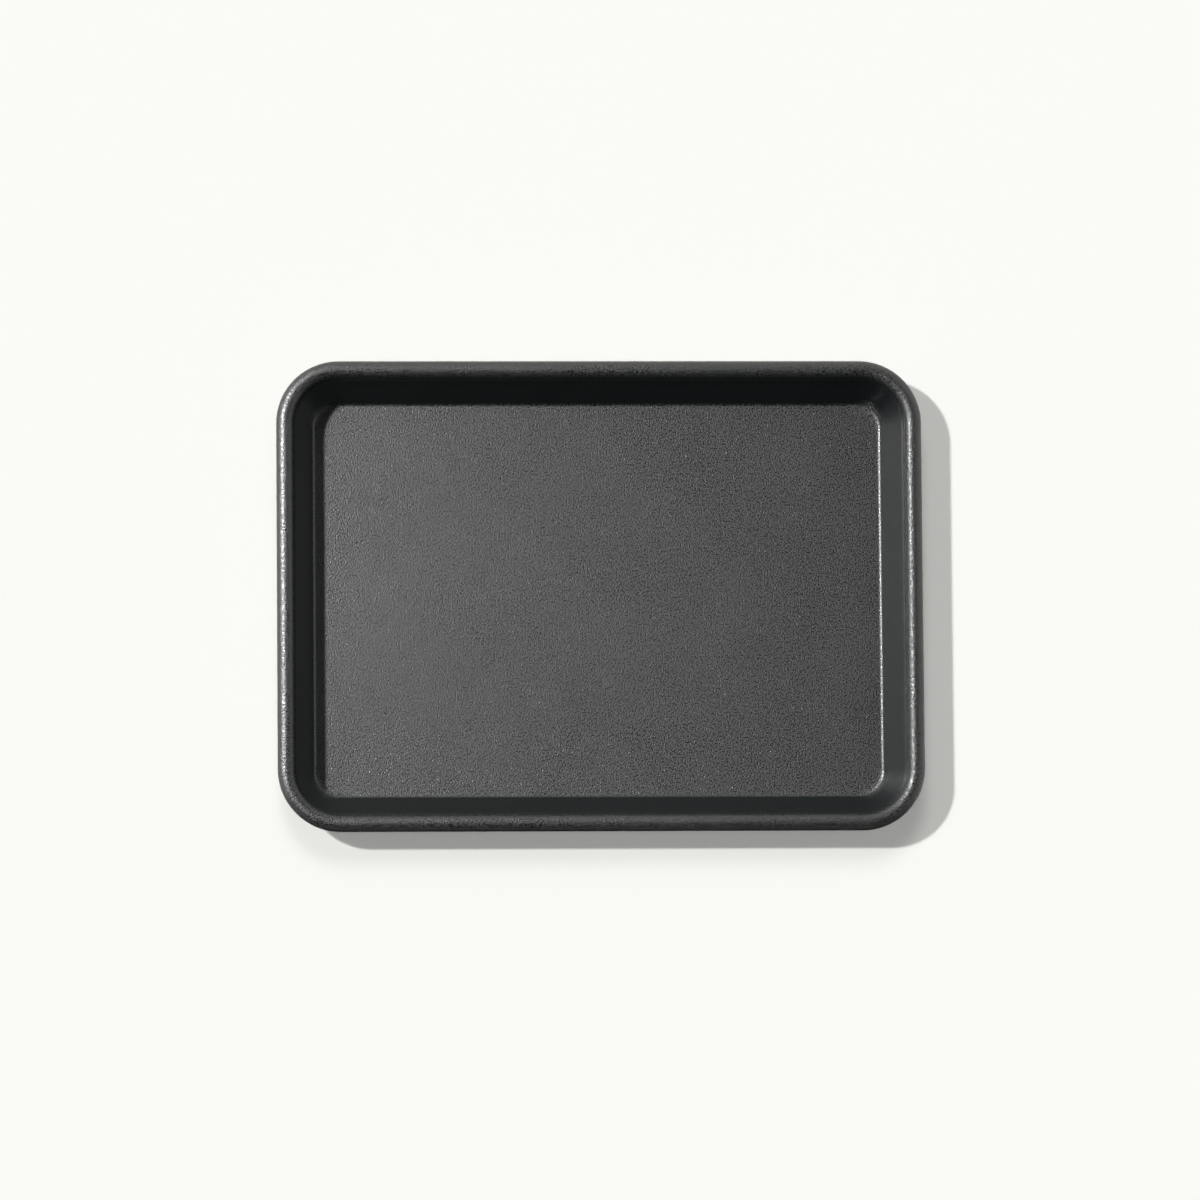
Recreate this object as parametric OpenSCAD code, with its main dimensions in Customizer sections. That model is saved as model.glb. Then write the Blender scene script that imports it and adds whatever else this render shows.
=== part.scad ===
// Shallow rectangular baking tray pressed from one sheet, its rim rolled round a steel wire.
// The origin is the middle of the base, +X runs along the length and +Z points up.

/* [Overall size] */
// Length over the rolled rim
pan_length = 330.2; // [240:1:460]
// Width over the rolled rim
pan_width = 241.3; // [180:1:340]
// Height from the base to the top of the rim
pan_height = 25.4; // [20:0.2:40]

/* [Sheet] */
// Thickness of the pressed sheet
sheet_thickness = 0.8; // [0.5:0.1:1.2]

/* [Floor and walls] */
// Distance from the rim's outer edge in to the edge of the flat floor
floor_inset = 21; // [19:0.2:26]
// Radius of the flat floor's corners
floor_corner_radius = 22.5; // [18:0.5:30]
// Inside radius of the bend between the floor and the walls
bend_radius = 2.5; // [1.5:0.1:4]

/* [Rolled rim] */
// Radius of the rim's outer edge round a corner
rim_corner_radius = 32; // [26:0.5:40]
// Angle through which the sheet is rolled, from the top of the wall to its free edge
rim_roll_angle = 300; // [200:5:320]
// Radius of the neck, over which the wall steepens until it is upright at the rim
neck_radius = 10; // [4:0.5:12]

/* [Rim wire] */
// Diameter of the wire inside the rim
wire_diameter = 6.6; // [5:0.1:7.2]
// Gap between the wire and the sheet that is rolled round it
wire_clearance = 0.3; // [0.1:0.05:0.5]
// Gap between the two butted ends of the wire
wire_butt_gap = 0.4; // [0.2:0.1:1.5]

/* [Smoothness] */
// Steps round each corner of the pan
corner_steps = 12; // [6:1:14]
// Steps round the rolled rim
roll_steps = 20; // [12:4:28]
// Steps round the bend above the floor
bend_steps = 6; // [3:1:8]
// Steps up the straight part of a wall
wall_steps = 4; // [2:1:6]
// Steps up the neck under the rim
neck_steps = 5; // [3:1:8]

/* [Hidden] */

// How fast the corners open out towards the floor: the power that their share down the wall is raised to
corner_easing = 14;
// Quarter turn, and the number of corners
quarter = 90;
corners = 4;

coating_color = [0.24, 0.24, 0.24];
wire_color = [0.62, 0.63, 0.64];

half_length = pan_length / 2;
half_width = pan_width / 2;

// Rolled rim in section: its radius, and its centre as distance in from the outer edge and height
wire_radius = wire_diameter / 2;
roll_inner_radius = wire_radius + wire_clearance;
roll_radius = roll_inner_radius + sheet_thickness;
roll_center = [roll_radius, pan_height - roll_radius];

// Direction in section at an angle from the horizontal that points in towards the pan's middle
function facing(angle) = [cos(angle), sin(angle)];

// Bend above the floor in section: both of its faces turn about this centre
bend_outer_radius = bend_radius + sheet_thickness;
bend_center = [floor_inset, bend_outer_radius];

// Neck under the rim: its centre lies level with the roll's, and the two meet where both are upright
neck_center = roll_center + [roll_radius + neck_radius, 0];

// Lean of the wall from upright: its face is the straight line that touches the neck and the bend
bend_to_neck = neck_center - bend_center;
wall_lean = atan2(bend_to_neck.y, bend_to_neck.x) - acos((neck_radius - bend_radius) / norm(bend_to_neck));
wall_foot = bend_center - bend_radius * facing(wall_lean);
wall_top = neck_center - neck_radius * facing(wall_lean);

// Distance in from the outer edge to a corner's centre, at a place on the sheet's inner face:
// the rim's own down to the wall's top, and moving in towards the floor
floor_corner_inset = floor_inset + floor_corner_radius;
function down_share(inset) = (inset - wall_top.x) / (floor_inset - wall_top.x);
function corner_inset(inset) =
    rim_corner_radius + (floor_corner_inset - rim_corner_radius) * pow(down_share(inset), corner_easing);

// Points of one face of the sheet, from the floor's edge up the wall and the neck and round the roll.
// Each holds its distance in from the outer edge, its height and its corner's centre distance.
// Depth is how far the face lies behind the inner face.
function face_points(depth) = [
    for (step = [0 : bend_steps])
        let (angle = -quarter - (quarter - wall_lean) * step / bend_steps)
        let (front = bend_center + bend_radius * facing(angle))
        let (point = bend_center + (bend_radius + depth) * facing(angle))
        [point.x, point.y, corner_inset(front.x)],
    for (step = [1 : wall_steps - 1])
        let (front = wall_foot + (wall_top - wall_foot) * step / wall_steps)
        let (point = front - depth * facing(wall_lean))
        [point.x, point.y, corner_inset(front.x)],
    for (step = [0 : neck_steps - 1])
        let (angle = wall_lean * (1 - step / neck_steps))
        let (point = neck_center - (neck_radius + depth) * facing(angle))
        [point.x, point.y, rim_corner_radius],
    for (step = [0 : roll_steps])
        let (angle = rim_roll_angle * step / roll_steps)
        let (point = roll_center + (roll_radius - depth) * facing(angle))
        [point.x, point.y, rim_corner_radius]
];

function reversed(list) = [for (index = [len(list) - 1 : -1 : 0]) list[index]];

// Which way a corner lies from the middle along X and along Y; the first is at the back right
function corner_side(corner) = [
    corner == 0 || corner == corners - 1 ? 1 : -1,
    corner < corners / 2 ? 1 : -1
];

// One closed outline of the pan: a rectangle with round corners, through one point of the section
function ring(place) = [
    for (corner = [0 : corners - 1], step = [0 : corner_steps])
        let (angle = quarter * (corner + step / corner_steps))
        let (toward = corner_side(corner))
        let (radius = place[2] - place[0])
        [
            toward.x * (half_length - place[2]) + radius * cos(angle),
            toward.y * (half_width - place[2]) + radius * sin(angle),
            place[1]
        ]
];

// One sheet: flat floor, bend, walls and rolled rim, as rings carried along the sheet's section
module pan_shell() {
    section = concat(face_points(0), reversed(face_points(sheet_thickness)));
    ring_size = corners * (corner_steps + 1);
    last_ring = len(section) - 1;
    points = [for (place = section) each ring(place)];
    bands = [
        for (row = [0 : last_ring - 1], column = [0 : ring_size - 1])
            let (next = (column + 1) % ring_size)
            let (low = row * ring_size)
            let (high = low + ring_size)
            each [
                [low + column, high + next, high + column],
                [low + column, low + next, high + next]
            ]
    ];
    floor_face = [for (column = [ring_size - 1 : -1 : 0]) column];
    base_face = [for (column = [0 : ring_size - 1]) last_ring * ring_size + column];
    color(coating_color)
        polyhedron(points = points, faces = concat([floor_face], bands, [base_face]));
}

// Straight length of the wire along X, from one place to another
module wire_run(from, to) {
    translate([from, 0, 0])
        rotate([0, quarter, 0])
            cylinder(r = wire_radius, h = to - from, $fn = 64);
}

// Quarter turn of the wire at a corner
module wire_corner() {
    rotate_extrude(angle = quarter, $fn = 128)
        translate([rim_corner_radius - roll_radius, 0])
            circle(r = wire_radius, $fn = 64);
}

// One closed hoop of wire inside the rolled rim, butted in the middle of the back side
module rim_wire() {
    run_x = half_length - rim_corner_radius;
    run_y = half_width - rim_corner_radius;
    wire_x = half_length - roll_center.x;
    wire_y = half_width - roll_center.x;
    half_gap = wire_butt_gap / 2;
    color(wire_color)
        translate([0, 0, roll_center.y])
            union() {
                translate([0, -wire_y, 0])
                    wire_run(-run_x, run_x);
                translate([0, wire_y, 0]) {
                    wire_run(-run_x, -half_gap);
                    wire_run(half_gap, run_x);
                }
                for (side = [-1, 1])
                    translate([side * wire_x, 0, 0])
                        rotate([0, 0, quarter])
                            wire_run(-run_y, run_y);
                for (corner = [0 : corners - 1])
                    translate([corner_side(corner).x * run_x, corner_side(corner).y * run_y, 0])
                        rotate([0, 0, quarter * corner])
                            wire_corner();
            }
}

pan_shell();
rim_wire();
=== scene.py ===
"""Sheet pan: a shallow coated baking tray with a rolled rim, standing on a pale studio floor.

The pan is one swept sheet and the wire inside its rim. Both are surfaces worked out with numpy from
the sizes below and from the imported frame. Everything is in metres, +X along the length, +Z up.
"""

import logging
from dataclasses import dataclass, field
from enum import Enum
from typing import Any

import bpy
import numpy as np
from mathutils import Matrix, Vector


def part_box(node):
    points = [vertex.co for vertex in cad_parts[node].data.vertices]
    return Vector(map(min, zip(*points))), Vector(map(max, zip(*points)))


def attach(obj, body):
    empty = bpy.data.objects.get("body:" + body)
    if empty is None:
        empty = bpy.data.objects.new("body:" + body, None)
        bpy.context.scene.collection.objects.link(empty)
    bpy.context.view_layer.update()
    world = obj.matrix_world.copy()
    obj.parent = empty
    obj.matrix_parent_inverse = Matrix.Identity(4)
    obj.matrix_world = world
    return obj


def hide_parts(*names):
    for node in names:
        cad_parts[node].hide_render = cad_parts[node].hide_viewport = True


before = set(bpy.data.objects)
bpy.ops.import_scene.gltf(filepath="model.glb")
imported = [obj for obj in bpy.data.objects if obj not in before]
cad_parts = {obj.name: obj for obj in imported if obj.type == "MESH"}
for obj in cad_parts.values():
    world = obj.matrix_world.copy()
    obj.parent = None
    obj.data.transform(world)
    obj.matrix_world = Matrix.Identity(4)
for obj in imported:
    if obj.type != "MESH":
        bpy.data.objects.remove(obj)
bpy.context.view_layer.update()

LOG = logging.getLogger("sheet_pan")
MILLIMETRE = 0.001
CORNERS = 4
QUARTER_TURN = np.pi / 2
SHARP_ANGLE = float(np.radians(40))
KEY_DIRECTION = (-0.76, 0.335, 1.0)

# Numbers of a Mix node's two colour inputs and of its colour output
MIX_COLOR_INPUTS = (6, 7)
MIX_COLOR_OUTPUT = 2

Triple = tuple[float, float, float]
Range = tuple[float, float]
Socket = bpy.types.NodeSocket


class Shape(Enum):
    """The shapes that a lamp may have."""

    SUN = "SUN"
    CARD = "AREA"


def facing(angle: np.ndarray) -> np.ndarray:
    """Directions in a section at angles from the horizontal that points in to the pan's middle.

    Args:
        angle: Angles in radians.

    Returns:
        One row (cos, sin) for each angle.
    """
    return np.stack([np.cos(angle), np.sin(angle)], axis=-1)


def band_faces(rows: int, columns: int) -> np.ndarray:
    """Four-sided faces between closed rings of vertices, which are numbered ring by ring.

    Args:
        rows: Number of rings.
        columns: Number of vertices in a ring.

    Returns:
        One row of four vertex numbers for each face.
    """
    row, column = np.meshgrid(np.arange(rows - 1), np.arange(columns), indexing="ij")
    here = row * columns + column
    beside = row * columns + (column + 1) % columns
    return np.stack([here, beside, beside + columns, here + columns], axis=-1).reshape(-1, 4)


def fan_faces(ring_start: int, columns: int, middle: int, turned: bool) -> np.ndarray:
    """Triangles between a closed ring of vertices and one vertex in its middle.

    Args:
        ring_start: Number of the ring's first vertex.
        columns: Number of vertices in the ring.
        middle: Number of the middle vertex.
        turned: Whether the triangles run the other way round.

    Returns:
        One row of three vertex numbers for each triangle.
    """
    here = np.arange(columns)
    beside = (here + 1) % columns
    pair = [beside, here] if turned else [here, beside]
    return np.stack([ring_start + pair[0], ring_start + pair[1], np.full(columns, middle)], axis=-1)


def build_mesh(name: str, points: np.ndarray, faces: list[np.ndarray]) -> bpy.types.Object:
    """Makes a smooth-shaded object of arrays of points and faces, and puts it in the scene.

    Args:
        name: The piece's name.
        points: One row (x, y, z) for each vertex.
        faces: Arrays of faces, each with one row of vertex numbers for each face.

    Returns:
        The new object, at the origin.
    """
    mesh = bpy.data.meshes.new(name)
    corners = np.concatenate([group.ravel() for group in faces])
    sizes = np.concatenate([np.full(len(group), group.shape[1]) for group in faces])
    starts = np.concatenate([[0], np.cumsum(sizes)[:-1]])
    mesh.vertices.add(len(points))
    mesh.vertices.foreach_set("co", points.astype(np.float32).ravel())
    mesh.loops.add(len(corners))
    mesh.loops.foreach_set("vertex_index", corners.astype(np.int32))
    mesh.polygons.add(len(sizes))
    mesh.polygons.foreach_set("loop_start", starts.astype(np.int32))
    mesh.update(calc_edges=True)
    mesh.validate()
    mesh.shade_smooth()
    piece = bpy.data.objects.new(name, mesh)
    bpy.context.collection.objects.link(piece)
    return piece


def build_sheet(name: str, middle: Triple, across: Triple, up: Triple) -> bpy.types.Object:
    """Makes the flat sheet middle + s * across + t * up, with s and t from -1 to 1.

    Args:
        name: The sheet's name.
        middle: Its middle.
        across: From its middle to the middle of one side.
        up: From its middle to the middle of the next side.

    Returns:
        The new object, at the origin.
    """
    center, right, top = np.array(middle), np.array(across), np.array(up)
    points = np.stack(
        [center - right - top, center + right - top, center + right + top, center - right + top]
    )
    return build_mesh(name, points, [np.array([[0, 1, 2, 3]])])


def add_share(piece: bpy.types.Object, name: str, values: np.ndarray) -> None:
    """Stores one number for each vertex, which the piece's finish reads by name.

    Args:
        piece: The piece.
        name: The attribute's name.
        values: One number for each vertex.
    """
    layer = piece.data.attributes.new(name, "FLOAT", "POINT")
    layer.data.foreach_set("value", values.astype(np.float32))


def start_material(name: str) -> tuple[bpy.types.Material, bpy.types.Node]:
    """Makes a material with a shader whose inputs are still at their defaults.

    Args:
        name: The material's name.

    Returns:
        The material and its shader.
    """
    material = bpy.data.materials.new(name)
    material.use_nodes = True
    return material, material.node_tree.nodes["Principled BSDF"]


def plain_material(name: str, color: Triple, roughness: float) -> bpy.types.Material:
    """Makes a material of one colour without gloss, for the studio.

    Args:
        name: The material's name.
        color: Its red, green and blue.
        roughness: Its roughness.

    Returns:
        The material.
    """
    material, shader = start_material(name)
    shader.inputs["Base Color"].default_value = (*color, 1)
    shader.inputs["Roughness"].default_value = roughness
    shader.inputs["Specular IOR Level"].default_value = 0
    return material


@dataclass(frozen=True)
class NodeTree:
    """A node tree that is filled from code."""

    tree: bpy.types.NodeTree

    def add(self, kind: str, **settings: Any) -> bpy.types.Node:
        """Adds a node.

        Args:
            kind: The node's type name, without the leading ShaderNode.
            **settings: Properties of the node, and values of inputs by name with underscores.

        Returns:
            The new node.
        """
        node = self.tree.nodes.new("ShaderNode" + kind)
        for name, value in settings.items():
            if hasattr(node, name):
                setattr(node, name, value)
            else:
                node.inputs[name.replace("_", " ")].default_value = value
        return node

    def join(self, source: Socket, target: Socket) -> None:
        """Links an output to an input."""
        self.tree.links.new(source, target)

    def noise(self, place: Socket, scale: float, detail: float, rough: float = 0.5) -> Socket:
        """Adds a noise pattern.

        Args:
            place: The coordinates that the pattern lies on.
            scale: Waves to the metre.
            detail: How many finer layers it has.
            rough: How strong the finer layers are.

        Returns:
            The output that holds the pattern, from 0 to 1.
        """
        node = self.add("TexNoise", Scale=scale, Detail=detail, Roughness=rough)
        self.join(place, node.inputs["Vector"])
        return node.outputs["Fac"]

    def spread(self, source: Socket, span: Range, onto: Range) -> Socket:
        """Maps one range of numbers onto another and stops at its ends.

        Args:
            source: The output to map.
            span: Where the first range begins and ends.
            onto: What its beginning and its end become.

        Returns:
            The mapped output.
        """
        node = self.add("MapRange", From_Min=span[0], From_Max=span[1], To_Min=onto[0], To_Max=onto[1])
        self.join(source, node.inputs["Value"])
        return node.outputs["Result"]

    def combine(self, operation: str, first: Socket | float, second: Socket | float) -> Socket:
        """Joins two numbers or outputs by a sum, product or the like.

        Args:
            operation: Name of the operation.
            first: An output or a number.
            second: An output or a number.

        Returns:
            The result's output.
        """
        node = self.add("Math", operation=operation)
        for socket, value in zip(node.inputs, (first, second)):
            if isinstance(value, (int, float)):
                socket.default_value = value
            else:
                self.join(value, socket)
        return node.outputs["Value"]

    def blend(self, share: Socket, first: Socket | Triple, second: Socket | Triple) -> Socket:
        """Mixes two colours.

        Args:
            share: The output that says how much of the second colour there is.
            first: The first colour, as an output or as red, green and blue.
            second: The second colour, in the same way.

        Returns:
            The mixed colour's output.
        """
        node = self.add("Mix", data_type="RGBA")
        self.join(share, node.inputs["Factor"])
        for number, color in zip(MIX_COLOR_INPUTS, (first, second)):
            if isinstance(color, tuple):
                node.inputs[number].default_value = (*color, 1)
            else:
                self.join(color, node.inputs[number])
        return node.outputs[MIX_COLOR_OUTPUT]


@dataclass(frozen=True)
class NonStickCoating:
    """Dark satin non-stick coating: a fine pebble grain on the floor and the rim, smooth walls.

    The piece's attribute "grain" says how much of the grain there is, from 0 to 1. The waves are to
    the metre, and a range is the part of a noise pattern that is used.
    """

    # Wall colour: the coating's own dark colour, made darker than the grained part as painted shade on the
    # walls and tinted teal as a painted glow of their reflections.
    wall_color_with_shade_and_glow: Triple = (0.004, 0.0066, 0.0074)
    dark: Triple = (0.0, 0.0, 0.0)
    pale: Triple = (0.041, 0.042, 0.0422)
    wall_roughness: float = 0.2
    grain_roughness: float = 0.51
    cloud_roughness: float = 0.02
    pebble_roughness: float = 0.22
    coat_weight: float = 0.08
    coat_roughness: float = 0.22
    specular_level: float = 0.85
    pebble_waves: float = 1300.0
    pebble_layer: float = 0.6
    pebble_range: Range = (0.36, 0.64)
    pebble_tones: Range = (0.06, 0.74)
    speck_waves: float = 2300.0
    speck_share: float = 0.35
    cloud_waves: float = 22.0
    cloud_range: Range = (0.3, 0.7)
    cloud_tone: float = 0.06
    peel_waves: float = 210.0
    peel_depth: float = 0.004 * MILLIMETRE
    grain_depth: float = 0.24 * MILLIMETRE
    wall_grain_share: float = 0.03

    def make(self) -> bpy.types.Material:
        """Builds the coating's material.

        Returns:
            The material.
        """
        material, shader = start_material("non_stick_coating")
        nodes = NodeTree(material.node_tree)
        shader.inputs["Specular IOR Level"].default_value = self.specular_level
        shader.inputs["Coat Weight"].default_value = self.coat_weight
        shader.inputs["Coat Roughness"].default_value = self.coat_roughness
        place = nodes.add("TexCoord").outputs["Object"]
        pebbles = nodes.noise(place, self.pebble_waves, 1, self.pebble_layer)
        clouds = nodes.noise(place, self.cloud_waves, 4)
        grain_share = nodes.add("Attribute", attribute_name="grain").outputs["Fac"]
        nodes.join(self.color(nodes, pebbles, clouds, grain_share), shader.inputs["Base Color"])
        nodes.join(self.roughness(nodes, pebbles, clouds, grain_share), shader.inputs["Roughness"])
        nodes.join(self.relief(nodes, place, pebbles, grain_share), shader.inputs["Normal"])
        return material

    def color(self, nodes: NodeTree, pebbles: Socket, clouds: Socket, grain_share: Socket) -> Socket:
        """Adds the colour: speckled where there is grain, and the wall colour where there is none, which is
        darker as painted shade and tinted teal as a painted glow of reflections.

        Args:
            nodes: The material's nodes.
            pebbles: The pattern of the grain.
            clouds: The pattern of its slow changes.
            grain_share: How much of the grain there is.

        Returns:
            The colour's output.
        """
        pebble_tone = nodes.spread(pebbles, self.pebble_range, self.pebble_tones)
        cloud_tone = nodes.spread(clouds, self.cloud_range, (-self.cloud_tone, self.cloud_tone))
        tone = nodes.combine("ADD", pebble_tone, cloud_tone)
        # Where there is no grain the colour is the wall colour, with its painted shade and painted teal
        # glow.
        return nodes.blend(grain_share, self.wall_color_with_shade_and_glow, nodes.blend(tone, self.dark, self.pale))

    def roughness(self, nodes: NodeTree, pebbles: Socket, clouds: Socket, grain_share: Socket) -> Socket:
        """Adds the roughness: level + clouds + pebbles * grain share, with the level set by the share.

        Args:
            nodes: The material's nodes.
            pebbles: The pattern of the grain.
            clouds: The pattern of its slow changes.
            grain_share: How much of the grain there is.

        Returns:
            The roughness's output.
        """
        level = nodes.spread(grain_share, (0, 1), (self.wall_roughness, self.grain_roughness))
        by_cloud = nodes.spread(clouds, self.cloud_range, (-self.cloud_roughness, self.cloud_roughness))
        by_pebble = nodes.spread(
            pebbles, self.pebble_range, (-self.pebble_roughness, self.pebble_roughness)
        )
        change = nodes.combine("ADD", by_cloud, nodes.combine("MULTIPLY", by_pebble, grain_share))
        return nodes.combine("ADD", level, change)

    def relief(self, nodes: NodeTree, place: Socket, pebbles: Socket, grain_share: Socket) -> Socket:
        """Adds the relief: pebbles with finer specks on them, and a shallow orange peel everywhere.

        Args:
            nodes: The material's nodes.
            place: The coordinates that the patterns lie on.
            pebbles: The pattern of the grain.
            grain_share: How much of the grain there is.

        Returns:
            The output that holds the surface's direction.
        """
        specks = nodes.noise(place, self.speck_waves, 1)
        grain = nodes.add("Bump", Distance=self.grain_depth)
        height = nodes.combine("ADD", pebbles, nodes.combine("MULTIPLY", specks, self.speck_share))
        nodes.join(nodes.spread(grain_share, (0, 1), (self.wall_grain_share, 1)), grain.inputs["Strength"])
        nodes.join(height, grain.inputs["Height"])
        peel = nodes.add("Bump", Distance=self.peel_depth)
        nodes.join(nodes.noise(place, self.peel_waves, 2), peel.inputs["Height"])
        nodes.join(grain.outputs["Normal"], peel.inputs["Normal"])
        return peel.outputs["Normal"]


@dataclass(frozen=True)
class ZincWire:
    """Zinc-coated steel wire with fine marks along it from drawing.

    The waves are to the metre, and the range is the part of the patches' pattern that is used.
    """

    dull: Triple = (0.42, 0.43, 0.44)
    bright: Triple = (0.66, 0.67, 0.68)
    dull_roughness: float = 0.52
    bright_roughness: float = 0.28
    patch_waves: float = 260.0
    patch_layer: float = 0.6
    patch_range: Range = (0.35, 0.65)
    mark_waves: float = 3200.0
    mark_depth: float = 0.01 * MILLIMETRE

    def make(self) -> bpy.types.Material:
        """Builds the wire's material.

        Returns:
            The material.
        """
        material, shader = start_material("zinc_coated_wire")
        nodes = NodeTree(material.node_tree)
        shader.inputs["Metallic"].default_value = 1
        place = nodes.add("TexCoord").outputs["Object"]
        patches = nodes.noise(place, self.patch_waves, 4, self.patch_layer)
        color = nodes.blend(nodes.spread(patches, self.patch_range, (0, 1)), self.dull, self.bright)
        roughness = nodes.spread(patches, self.patch_range, (self.dull_roughness, self.bright_roughness))
        drawn = nodes.add("Bump", Distance=self.mark_depth)
        nodes.join(nodes.noise(place, self.mark_waves, 2), drawn.inputs["Height"])
        nodes.join(color, shader.inputs["Base Color"])
        nodes.join(roughness, shader.inputs["Roughness"])
        nodes.join(drawn.outputs["Normal"], shader.inputs["Normal"])
        return material


@dataclass(frozen=True)
class RoundedOutline:
    """A rectangle with round corners, as places that rings of the sheet's section share.

    Each place is a mix of two corner places, so that a straight side has points of its own.
    """

    half_length: float
    half_width: float
    corner_steps: int = 32
    long_side_steps: int = 20
    short_side_steps: int = 16

    def corner_turn(self) -> np.ndarray:
        """Angles of the places round one corner, in radians."""
        return np.linspace(0, QUARTER_TURN, self.corner_steps + 1)

    def corner_angles(self) -> np.ndarray:
        """Angles of the places round the four corners, from the back right one, in radians."""
        return (np.arange(CORNERS)[:, None] * QUARTER_TURN + self.corner_turn()).ravel()

    def corner_sides(self) -> tuple[np.ndarray, np.ndarray]:
        """Which way each corner place's corner lies from the middle, along X and along Y."""
        count = self.corner_steps + 1
        return np.repeat([1, -1, -1, 1], count), np.repeat([1, 1, -1, -1], count)

    def mixes(self) -> tuple[np.ndarray, np.ndarray, np.ndarray]:
        """The two corner places that each place of the outline lies between, and its share of the second.

        Returns:
            Numbers of the first places, numbers of the second places, and the shares.
        """
        count = self.corner_steps + 1
        first, second, share = [], [], []
        for corner, steps in enumerate([self.long_side_steps, self.short_side_steps] * 2):
            arc = np.arange(corner * count, (corner + 1) * count)
            run = np.arange(1, steps) / steps
            next_arc = (corner + 1) * count % (CORNERS * count)
            first += [arc, np.full(len(run), arc[-1])]
            second += [arc, np.full(len(run), next_arc)]
            share += [np.zeros(count), run]
        return np.concatenate(first), np.concatenate(second), np.concatenate(share)

    def corner_share(self) -> np.ndarray:
        """How far each place of the outline lies in a corner: the sine of twice its angle there.

        Returns:
            One share for each place: 0 on the sides, 1 on a corner's diagonal.
        """
        share_there = np.tile(np.abs(np.sin(2 * self.corner_turn())), CORNERS)
        first, second, share = self.mixes()
        return share_there[first] * (1 - share) + share_there[second] * share

    def rings(self, section: np.ndarray) -> np.ndarray:
        """Carries a section round the outline.

        A corner place at angle a lies at x = half_length - c + (c - i) * cos a, with i the section
        point's distance in from the outer edge and c its corner centre's, and likewise along Y.

        Args:
            section: One row (distance in, height, corner centre's distance in) for each section point.

        Returns:
            An array of points: section points by places of the outline by (x, y, z).
        """
        angle = self.corner_angles()
        side_x, side_y = self.corner_sides()
        inset, height, center = section[:, :1], section[:, 1:2], section[:, 2:]
        x = side_x * (self.half_length - center) + (center - inset) * np.cos(angle)
        y = side_y * (self.half_width - center) + (center - inset) * np.sin(angle)
        corners = np.stack([x, y, np.broadcast_to(height, x.shape)], axis=-1)
        first, second, share = self.mixes()
        share = share[None, :, None]
        return corners[:, first] * (1 - share) + corners[:, second] * share


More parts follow.
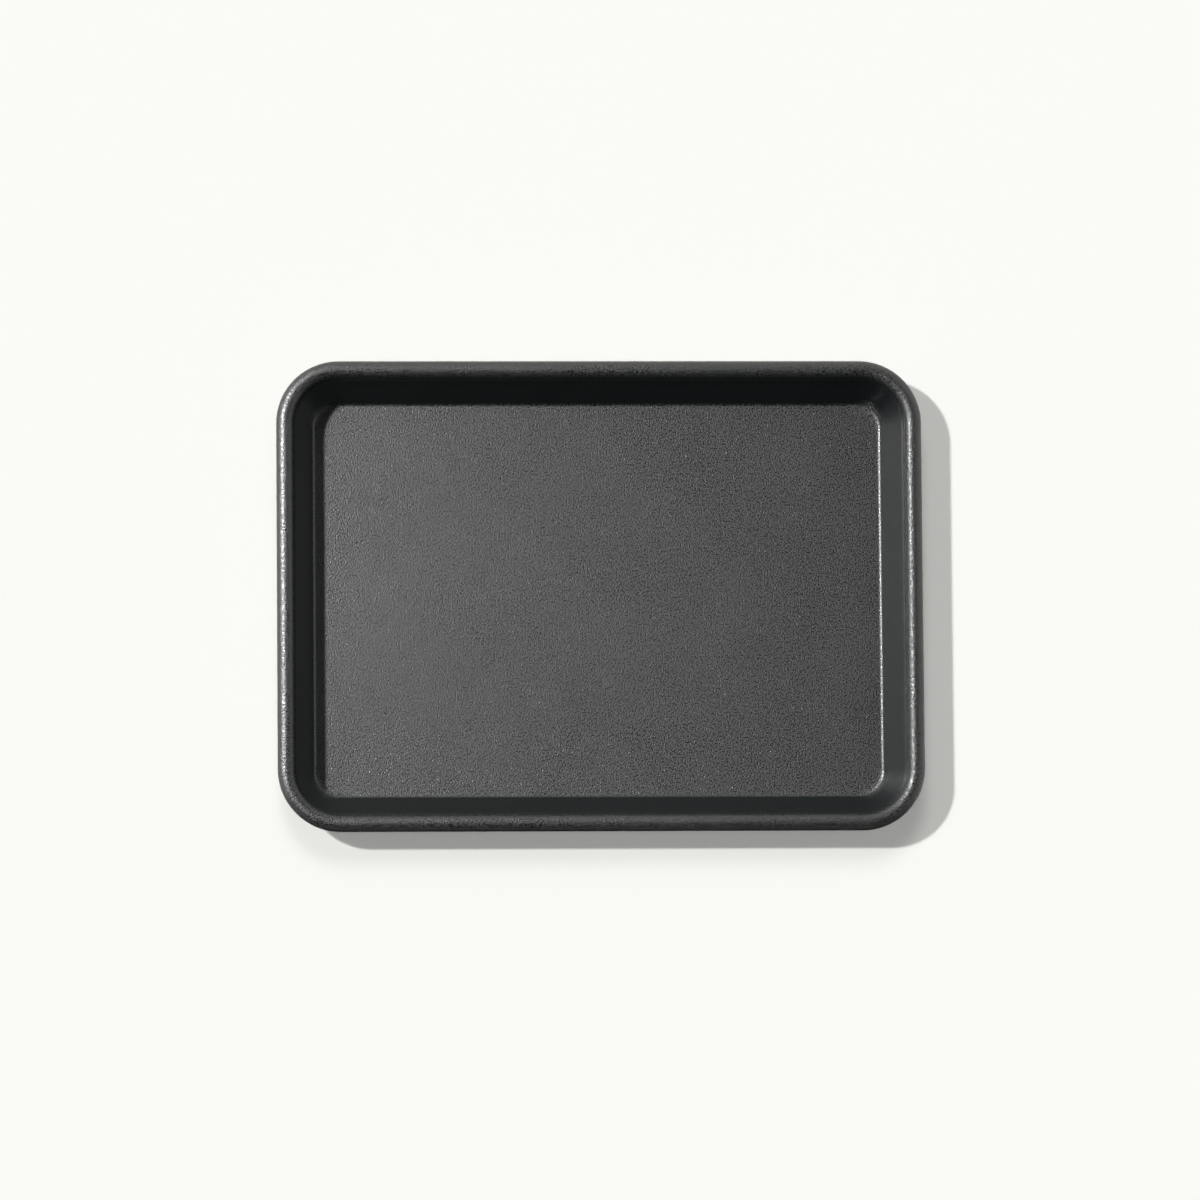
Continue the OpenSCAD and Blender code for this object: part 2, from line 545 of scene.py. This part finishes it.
@dataclass(frozen=True)
class SheetSection:
    """Section of the pressed sheet: bend, leaning wall, neck and rolled rim."""

    height: float
    roll_radius: float
    thickness: float = 0.8 * MILLIMETRE
    floor_inset: float = 21 * MILLIMETRE
    floor_corner_radius: float = 22.5 * MILLIMETRE
    bend_radius: float = 2.5 * MILLIMETRE
    neck_radius: float = 10 * MILLIMETRE
    rim_corner_radius: float = 32 * MILLIMETRE
    corner_easing: float = 14.0
    roll_angle: float = float(np.radians(300))
    bend_steps: int = 14
    wall_steps: int = 16
    neck_steps: int = 16
    roll_steps: int = 60
    rim_grain: float = 0.85
    rim_fade_share: float = 0.16
    bend_fade_power: float = 0.7
    corner_fade_steps: int = 4

    @property
    def bend_center(self) -> np.ndarray:
        """Centre that both faces of the bend turn about."""
        return np.array([self.floor_inset, self.bend_radius + self.thickness])

    @property
    def roll_center(self) -> np.ndarray:
        """Centre that the rim is rolled about."""
        return np.array([self.roll_radius, self.height - self.roll_radius])

    @property
    def neck_center(self) -> np.ndarray:
        """Centre of the neck, level with the roll's, so that the two meet where both are upright."""
        return self.roll_center + np.array([self.roll_radius + self.neck_radius, 0])

    @property
    def lean(self) -> float:
        """Lean of the wall from upright, as the line that touches the neck and the bend."""
        across = self.neck_center - self.bend_center
        share = (self.neck_radius - self.bend_radius) / np.linalg.norm(across)
        return float(np.arctan2(across[1], across[0]) - np.arccos(share))

    def face(self, depth: float) -> np.ndarray:
        """Points of one face of the sheet, from the floor's edge up the wall and round the roll.

        The bend is an arc from straight down to the wall's foot, and the wall is the straight line
        from there to the neck. The neck is an arc that steepens until it is upright, and the roll is
        an arc that goes on over the top and back in underneath. The corner centre moves in towards
        the floor with a power of the share down the wall.

        Args:
            depth: How far the face lies behind the inner face.

        Returns:
            One row (distance in from the outer edge, height, corner centre's distance in) a point.
        """
        inward = facing(np.array(self.lean))
        top = self.neck_center - self.neck_radius * inward
        foot = self.bend_center - self.bend_radius * inward
        bend_turn = np.linspace(-QUARTER_TURN, -np.pi + self.lean, self.bend_steps + 1)
        wall_front = foot + (top - foot) * np.linspace(0, 1, self.wall_steps + 1)[1:-1, None]
        front = np.concatenate([self.bend_center + self.bend_radius * facing(bend_turn), wall_front])
        bend = self.bend_center + (self.bend_radius + depth) * facing(bend_turn)
        neck_turn = np.linspace(self.lean, 0, self.neck_steps + 1)[:-1]
        neck = self.neck_center - (self.neck_radius + depth) * facing(neck_turn)
        roll_turn = np.linspace(0, self.roll_angle, self.roll_steps + 1)
        roll = self.roll_center + (self.roll_radius - depth) * facing(roll_turn)

        down = np.clip((front[:, 0] - top[0]) / (self.floor_inset - top[0]), 0, 1)
        floor_center = self.floor_inset + self.floor_corner_radius
        move = floor_center - self.rim_corner_radius
        center = self.rim_corner_radius + move * down**self.corner_easing
        wall = np.column_stack([np.concatenate([bend, wall_front - depth * inward]), center])
        rim = np.concatenate([neck, roll])
        rim = np.column_stack([rim, np.full(len(rim), self.rim_corner_radius)])
        return np.concatenate([wall, rim])

    def whole(self) -> np.ndarray:
        """The whole section: up the inner face, round the roll and back down the outer face."""
        return np.concatenate([self.face(0.0), self.face(self.thickness)[::-1]])

    def grain(self, corner_share: np.ndarray) -> np.ndarray:
        """Share of the pebble grain: most on the rim and the bend, none on the wall, where the colour is
        the darker teal wall colour with its painted shade and painted glow.

        On the bend it fades up the sides, but stays whole in the corners and ends a little above them.

        Args:
            corner_share: How far each place of the outline lies in a corner.

        Returns:
            An array of shares: points of the whole section by places of the outline.
        """
        smooth = self.bend_steps + self.wall_steps + self.neck_steps
        place = np.arange(smooth + self.roll_steps + 1)
        rim_fade = self.rim_fade_share * self.roll_steps
        side = np.clip((place - smooth) / rim_fade, 0, 1) * self.rim_grain
        corner = side.copy()
        side[: self.bend_steps + 1] = np.linspace(1, 0, self.bend_steps + 1) ** self.bend_fade_power
        corner[: self.bend_steps + 1] = 1
        fade = self.bend_steps + 1 + np.arange(self.corner_fade_steps)
        corner[fade] = np.linspace(1, 0, self.corner_fade_steps + 2)[1:-1]
        share = side[:, None] * (1 - corner_share) + corner[:, None] * corner_share
        return np.concatenate([share, share[::-1]])


@dataclass
class PanShell:
    """The pressed sheet: flat floor, bend, walls and the rim that is rolled round the wire.

    The ring shares are the sizes of the rings on the floor and the base, as shares of their edge.
    """

    ring_shares: tuple[float, ...] = (
        0.997, 0.985, 0.96, 0.92, 0.86, 0.78, 0.68, 0.56, 0.42, 0.28, 0.14
    )
    finish: NonStickCoating = field(default_factory=NonStickCoating)
    node: str = "pan_shell"

    def outline(self) -> RoundedOutline:
        """The outline of the rim's outer edge, from the frame."""
        low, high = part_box(self.node)
        return RoundedOutline((high.x - low.x) / 2, (high.y - low.y) / 2)

    def section(self) -> SheetSection:
        """The section of the sheet, with the height and the roll's radius from the frame."""
        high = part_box(self.node)[1]
        wire_low, wire_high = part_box("rim_wire")
        return SheetSection(high.z, high.z - (wire_low.z + wire_high.z) / 2)

    def build(self) -> bpy.types.Object:
        """Makes the shell's mesh: rings along the section, and the floor and base as shrinking rings.

        Returns:
            The closed shell.
        """
        outline, section = self.outline(), self.section()
        rings = outline.rings(section.whole())
        rows, columns = rings.shape[:2]
        flat = np.array([1, 1, 0])
        shrink = 1 + (np.array(self.ring_shares)[:, None, None] - 1) * flat
        floor_rings = (rings[0] * shrink)[::-1]
        base_rings = rings[-1] * shrink
        rows += 2 * len(self.ring_shares)
        body = np.concatenate([floor_rings, rings, base_rings]).reshape(-1, 3)
        middles = np.array([[0, 0, rings[0, 0, 2]], [0, 0, rings[-1, 0, 2]]])
        faces = [
            band_faces(rows, columns),
            fan_faces(0, columns, len(body), turned=True),
            fan_faces((rows - 1) * columns, columns, len(body) + 1, turned=False),
        ]
        shell = build_mesh("coated_shell", np.concatenate([body, middles]), faces)
        shell.data.set_sharp_from_angle(angle=SHARP_ANGLE)
        flat_grain = np.ones((len(self.ring_shares), columns))
        grain = np.concatenate([flat_grain, section.grain(outline.corner_share()), flat_grain])
        add_share(shell, "grain", np.concatenate([grain.ravel(), np.ones(len(middles))]))
        return shell

    def dress(self, shell: bpy.types.Object) -> None:
        """Gives the shell its coating and its place in the frame."""
        shell.data.materials.append(self.finish.make())
        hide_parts(self.node)
        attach(shell, "root")


@dataclass
class RimWire:
    """The wire inside the rolled rim: one hoop whose two ends are butted in the middle of the back."""

    butt_gap: float = 0.4 * MILLIMETRE
    rim_corner_radius: float = 32 * MILLIMETRE
    sides: int = 40
    corner_steps: int = 36
    straight_steps: int = 12
    end_share: float = 0.94
    finish: ZincWire = field(default_factory=ZincWire)
    node: str = "rim_wire"

    def path(self, run_x: float, run_y: float, bend: float) -> tuple[np.ndarray, np.ndarray]:
        """Middle line of the wire, from the butt round the pan and back to it.

        The line is straight along each side and a quarter circle round each corner.

        Args:
            run_x: Half the straight length along X.
            run_y: Half the straight length along Y.
            bend: Radius of the corners.

        Returns:
            The points of the line, and the outward directions there.
        """
        half_gap = self.butt_gap / 2
        backward = np.array([[0.0, 1.0]])
        points, outward = [np.array([[-half_gap, run_y + bend]])], [backward]
        centers = [(-run_x, run_y), (-run_x, -run_y), (run_x, -run_y), (run_x, run_y)]
        for corner, center in enumerate(centers):
            turn = np.linspace(0, QUARTER_TURN, self.corner_steps + 1) + QUARTER_TURN * (corner + 1)
            away = facing(turn)
            arc = np.array(center) + bend * away
            climb = np.linspace(0, 1, self.straight_steps + 1)[1:-1, None]
            points += [points[-1][-1] + (arc[0] - points[-1][-1]) * climb, arc]
            outward += [np.repeat(away[:1], len(climb), axis=0), away]
        points.append(np.array([[half_gap, run_y + bend]]))
        outward.append(backward)
        return np.concatenate(points), np.concatenate(outward)

    def build(self) -> bpy.types.Object:
        """Makes the wire: a circle carried along the line, with a slightly rounded end at the butt.

        Returns:
            The closed wire.
        """
        low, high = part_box(self.node)
        radius = (high.z - low.z) / 2
        shell_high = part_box("pan_shell")[1]
        bend = self.rim_corner_radius - (shell_high.x - high.x) - radius
        line, outward = self.path(high.x - radius - bend, high.y - radius - bend, bend)
        line = np.concatenate([line[:1], line, line[-1:]])
        outward = np.concatenate([outward[:1], outward, outward[-1:]])
        width = np.full(len(line), radius)
        width[[0, -1]] *= self.end_share
        circle = facing(np.linspace(0, 2 * np.pi, self.sides, endpoint=False))
        level = line[:, None, :] + outward[:, None, :] * circle[None, :, :1] * width[:, None, None]
        height = (low.z + high.z) / 2 + circle[None, :, 1] * width[:, None]
        rings = np.concatenate([level, height[:, :, None]], axis=2)
        body = rings.reshape(-1, 3)
        middles = rings[[0, -1]].mean(axis=1)
        faces = [
            band_faces(len(line), self.sides),
            fan_faces(0, self.sides, len(body), turned=True),
            fan_faces((len(line) - 1) * self.sides, self.sides, len(body) + 1, turned=False),
        ]
        wire = build_mesh("zinc_wire", np.concatenate([body, middles]), faces)
        wire.data.set_sharp_from_angle(angle=SHARP_ANGLE)
        return wire

    def dress(self, wire: bpy.types.Object) -> None:
        """Gives the wire its finish and its place in the frame."""
        wire.data.materials.append(self.finish.make())
        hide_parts(self.node)
        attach(wire, "root")


@dataclass(frozen=True)
class Lamp:
    """One lamp of the studio, which shines from a direction onto a place that it is aimed at.

    A sun's level is the share of a level white floor's brightness that it gives, and its spread is
    its angle in degrees. A card's level is its own brightness before its beam is narrowed to an
    angle in degrees, and its spread is its width. A lamp may act on plain light, on gloss or on both.
    """

    name: str
    shape: Shape
    toward: Triple
    level: float
    spread: float
    distance: float = 3.0
    aim: Triple = (0.0, 0.0, 0.0)
    beam: float = 180.0
    on_plain: bool = True
    in_gloss: bool = True

    def place(self) -> None:
        """Puts the lamp in the scene.

        A sun's strength is level * pi / (height of its direction). A card's power is its level
        times pi times the area of its disk.
        """
        lamp = bpy.data.lights.new(self.name, self.shape.value)
        direction = Vector(self.toward).normalized()
        if self.shape is Shape.SUN:
            lamp.angle = float(np.radians(self.spread))
            lamp.energy = self.level * np.pi / direction.z
        else:
            lamp.shape = "DISK"
            lamp.size = self.spread
            lamp.spread = float(np.radians(self.beam))
            lamp.energy = self.level * np.pi**2 * self.spread**2 / 4
        body = bpy.data.objects.new(self.name, lamp)
        body.location = Vector(self.aim) + direction * self.distance
        body.rotation_euler = direction.to_track_quat("Z", "Y").to_euler()
        body.visible_diffuse = self.on_plain
        body.visible_glossy = self.in_gloss
        body.visible_camera = False
        bpy.context.collection.objects.link(body)


@dataclass(frozen=True)
class Drape:
    """A dark cloth that the camera doesn't see, which darkens the reflections of its part of the studio."""

    name: str
    middle: Triple
    across: Triple
    up: Triple
    tone: float = 0.01
    on_plain: bool = True

    def hang(self) -> None:
        """Puts the cloth in the scene, flat and without a shadow."""
        cloth = build_sheet(self.name, self.middle, self.across, self.up)
        cloth.data.materials.append(plain_material(self.name, (self.tone, self.tone, self.tone), 1))
        cloth.visible_camera = False
        cloth.visible_shadow = False
        cloth.visible_diffuse = self.on_plain


@dataclass
class Studio:
    """Pale floor, soft light and surroundings."""

    floor_reach: float = 12.0
    floor_color: Triple = (0.915, 0.922, 0.885)
    floor_roughness: float = 0.9
    surroundings: Triple = (1.0, 1.0, 0.985)
    surroundings_level: float = 0.08
    backdrop_color: Triple = (0.922, 0.930, 0.888)
    lamps: tuple[Lamp, ...] = (
        Lamp("key_lamp", Shape.SUN, KEY_DIRECTION, level=0.52, spread=3.0, in_gloss=False),
        Lamp("back_fill", Shape.SUN, (-0.1, 0.7, 1.0), level=0.16, spread=20.0, in_gloss=False),
        Lamp("top_fill", Shape.SUN, (-0.06, -0.11, 1.0), level=0.3, spread=8.0, in_gloss=False),
        Lamp(
            "key_card",
            Shape.CARD,
            KEY_DIRECTION,
            level=400.0,
            spread=0.078,
            distance=1.5,
            aim=(-0.14, 0, 0),
            beam=60.0,
            on_plain=False,
        ),
    )
    drapes: tuple[Drape, ...] = (
        Drape("front_drape", (0, -3.0, 2.5), (5.0, 0, 0), (0, 0, 2.5)),
        Drape("ceiling_drape", (0, 0, 1.3), (1.1, 0, 0), (0, 1.1, 0), on_plain=False),
        Drape("front_strip", (0, -0.19, 0.0005), (0.25, 0, 0), (0, 0.066, 0), on_plain=False),
        Drape("left_flag", (-1.05, 0, 0.45), (0, 1.2, 0), (0, 0, 0.1), on_plain=False),
        Drape("right_flag", (1.05, 0, 1.5), (0.115, 0, -0.08), (0, 1.2, 0), on_plain=False),
    )

    def lay_floor(self) -> None:
        """Makes the floor that the pan stands on, a square in the plane z = 0."""
        reach = self.floor_reach
        floor = build_sheet("studio_floor", (0, 0, 0), (reach, 0, 0), (0, reach, 0))
        floor.data.materials.append(
            plain_material("studio_floor", self.floor_color, self.floor_roughness)
        )

    def surround(self) -> None:
        """Lights the scene from all round, and shows a pale background where the floor ends.

        The camera, gloss and clear materials see the backdrop's colour, and all else gets the light.
        """
        world = bpy.data.worlds.new("studio")
        bpy.context.scene.world = world
        world.use_nodes = True
        world.cycles.sampling_method = "NONE"
        nodes = NodeTree(world.node_tree)
        light = world.node_tree.nodes["Background"]
        light.inputs["Color"].default_value = (*self.surroundings, 1)
        light.inputs["Strength"].default_value = self.surroundings_level
        backdrop = nodes.add("Background", Color=(*self.backdrop_color, 1), Strength=1.0)
        path = nodes.add("LightPath").outputs
        seen = nodes.combine("MAXIMUM", path["Is Camera Ray"], path["Is Transmission Ray"])
        seen = nodes.combine("MAXIMUM", seen, path["Is Glossy Ray"])
        mix = nodes.add("MixShader")
        nodes.join(seen, mix.inputs[0])
        nodes.join(light.outputs[0], mix.inputs[1])
        nodes.join(backdrop.outputs[0], mix.inputs[2])
        nodes.join(mix.outputs[0], world.node_tree.nodes["World Output"].inputs["Surface"])

    def build(self) -> None:
        """Sets up the floor, the surroundings, the lamps and the drapes."""
        self.lay_floor()
        self.surround()
        for lamp in self.lamps:
            lamp.place()
        for drape in self.drapes:
            drape.hang()


@dataclass
class PhotoCamera:
    """A long lens almost straight above the pan, at the photograph's angle.

    The tilts and the roll are in degrees. The sensor is in millimetres, and the rest in metres.
    """

    tilt_back: float = 6.4
    tilt_left: float = 3.3
    roll: float = 0.47
    distance: float = 5.0
    frame_width: float = 0.6123
    sensor: float = 36.0
    nearest: float = 0.1
    farthest: float = 60.0
    aim: Triple = (-0.0003, -0.0023, 0.0213)

    def place(self) -> None:
        """Puts the camera in the scene and makes it the scene's own."""
        data = bpy.data.cameras.new("photo_camera")
        data.sensor_width = self.sensor
        data.lens = self.sensor * self.distance / self.frame_width
        data.clip_start = self.nearest
        data.clip_end = self.farthest
        camera = bpy.data.objects.new("photo_camera", data)
        slope = np.tan(np.radians([self.tilt_left, self.tilt_back]))
        away = Vector((-slope[0], -slope[1], 1)).normalized()
        across = Vector((0, 1, 0)).cross(away).normalized()
        across = Matrix.Rotation(-float(np.radians(self.roll)), 3, away) @ across
        turn = Matrix((across, away.cross(across), away)).transposed()
        camera.location = Vector(self.aim) + away * self.distance
        camera.rotation_euler = turn.to_euler()
        bpy.context.collection.objects.link(camera)
        bpy.context.scene.camera = camera


def main() -> None:
    """Builds the pan, its surroundings and the camera."""
    logging.basicConfig(level=logging.INFO, format="%(name)s: %(message)s")
    bpy.context.scene.view_settings.view_transform = "Standard"
    for maker in (PanShell(), RimWire()):
        piece = maker.build()
        maker.dress(piece)
        LOG.info("%s: %d faces", piece.name, len(piece.data.polygons))
    Studio().build()
    PhotoCamera().place()


if __name__ == "__main__":
    main()
